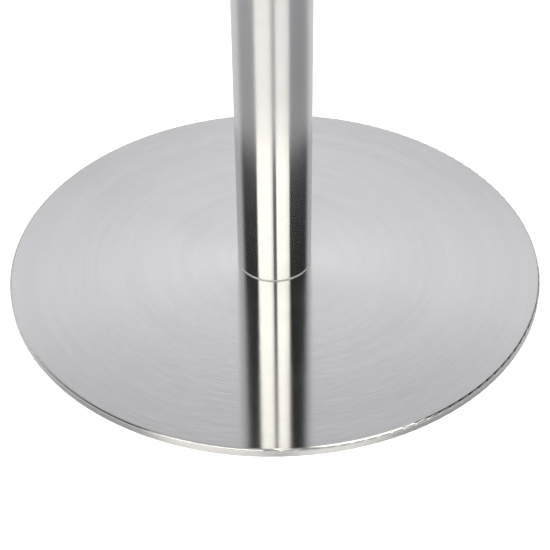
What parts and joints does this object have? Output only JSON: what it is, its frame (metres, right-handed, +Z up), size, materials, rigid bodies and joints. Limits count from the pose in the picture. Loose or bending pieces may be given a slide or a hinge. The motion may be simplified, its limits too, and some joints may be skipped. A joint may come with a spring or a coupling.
{
  "type": "rope barrier stanchion",
  "caption": "Free-standing rope barrier post: flat round base, plain tube post, and a turning collar with rope loops under a flat cap.",
  "frame": {"origin": "on the floor, at the middle of the base's underside", "axes": "+Z up along the post; one rope loop points along each of +X, +Y, -X and -Y at rest"},
  "size_m": [0.36, 0.36, 0.95],
  "materials": {
    "satin_stainless": "satin, brushed round the axis",
    "polished_stainless": "polished",
    "turned_steel": "turned",
    "zinc_steel": "zinc plated",
    "black_steel": "matt black paint",
    "pad_rubber": "matt",
    "pale_nylon": "milky, semi-gloss",
    "black_nylon": "satin"
  },
  "bodies": {
    "stand": {"base_cover": "satin_stainless", "base_weight": "black_steel", "floor_pad": "pad_rubber", "foot_screw": "zinc_steel", "locating_pins": "zinc_steel", "foot_ring": "pale_nylon", "foot_plug": "turned_steel", "post_tube": "satin_stainless", "head_socket": "satin_stainless", "socket_screws": "zinc_steel", "lower_washer": "black_nylon", "upper_washer": "black_nylon", "cap_stud": "zinc_steel", "top_cap": "satin_stainless"},
    "collar": {"collar_ring": "satin_stainless", "collar_bush": "black_nylon", "rope_loop_1": "polished_stainless", "rope_loop_2": "polished_stainless", "rope_loop_3": "polished_stainless", "rope_loop_4": "polished_stainless"}
  },
  "joints": [
    {"name": "collar_swivel", "type": "hinge", "parent": "stand", "child": "collar", "pos_m": [0, 0, 0.9299], "axis": [0, 0, 1], "continuous": true}
  ]
}
